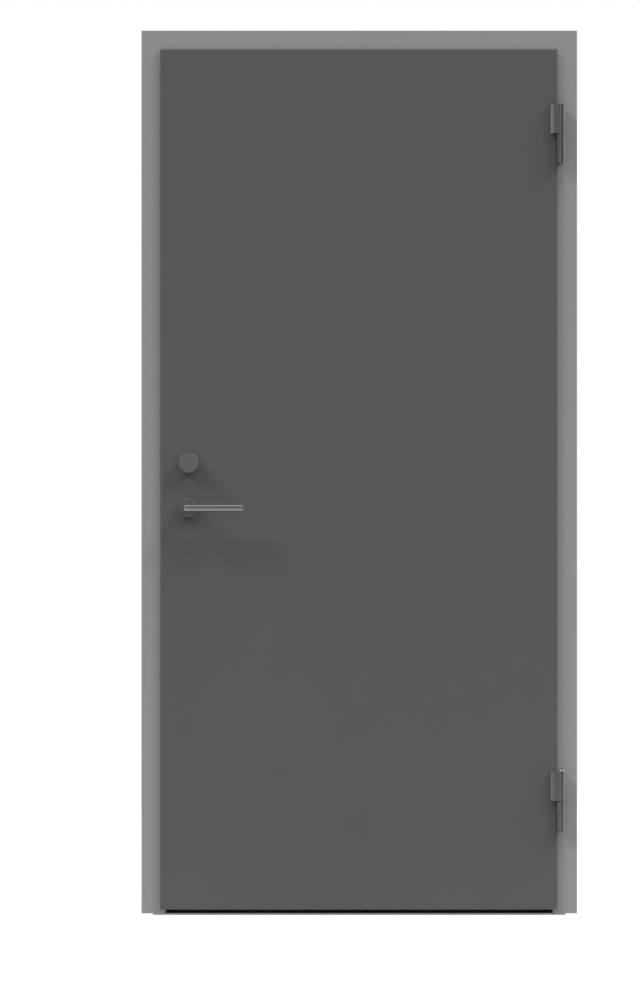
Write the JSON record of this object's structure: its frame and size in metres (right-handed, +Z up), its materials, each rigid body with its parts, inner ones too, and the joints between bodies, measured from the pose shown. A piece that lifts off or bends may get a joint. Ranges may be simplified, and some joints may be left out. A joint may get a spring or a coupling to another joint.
{
  "type": "steel utility door set",
  "caption": "Single steel door leaf in a folded steel frame with a wall flange and flat threshold, hung on knuckle hinges, with a lever handle and a blank lock cover.",
  "frame": {"origin": "on the floor, at the middle of the threshold's underside, half way through the frame's depth", "axes": "+X along the wall towards the hinges, +Y into the wall (the door opens towards -Y), +Z up"},
  "size_m": [1.044, 0.171, 2.12],
  "materials": {
    "frame_paint": "satin",
    "leaf_paint": "satin",
    "threshold_steel": "satin",
    "hinge_steel": "satin",
    "satin_stainless": "satin",
    "galvanised_steel": "satin",
    "seal_rubber": "matte"
  },
  "bodies": {
    "frame": {"lock_jamb": "frame_paint", "hinge_jamb": "frame_paint", "frame_head": "frame_paint", "threshold_plate": "threshold_steel", "threshold_stop": "leaf_paint", "lock_jamb_seal": "seal_rubber", "hinge_jamb_seal": "seal_rubber", "head_seal": "seal_rubber", "threshold_seal": "seal_rubber", "strike_plate": "satin_stainless", "strike_box": "galvanised_steel", "lock_jamb_anchor_sleeves": "galvanised_steel", "hinge_jamb_anchor_sleeves": "galvanised_steel", "upper_hinge_frame_half": "hinge_steel", "lower_hinge_frame_half": "hinge_steel", "upper_hinge_ring": "hinge_steel", "lower_hinge_ring": "hinge_steel"},
    "leaf": {"leaf_front_sheet": "leaf_paint", "leaf_rear_sheet": "leaf_paint", "lock_case": "galvanised_steel", "lock_forend": "satin_stainless", "latch_bolt": "satin_stainless", "dead_bolt": "satin_stainless", "upper_hinge_leaf_half": "hinge_steel", "lower_hinge_leaf_half": "hinge_steel", "front_lever_rosette": "satin_stainless", "back_lever_rosette": "satin_stainless", "front_lock_cover": "satin_stainless", "back_lock_cover": "satin_stainless"},
    "lever": {"front_lever": "satin_stainless", "back_lever": "satin_stainless", "lever_spindle": "galvanised_steel"}
  },
  "joints": [
    {"name": "leaf_swing", "type": "hinge", "parent": "frame", "child": "leaf", "pos_m": [0.485, -0.063, 1], "axis": [0, 0, 1], "range_deg": [0, 175]},
    {"name": "lever_turn", "type": "hinge", "parent": "leaf", "child": "lever", "pos_m": [-0.408, -0.033, 0.976], "axis": [0, 1, 0], "range_deg": [0, 45], "stiffness_Nm_per_rad": 1.5, "springref_deg": -57.3}
  ]
}
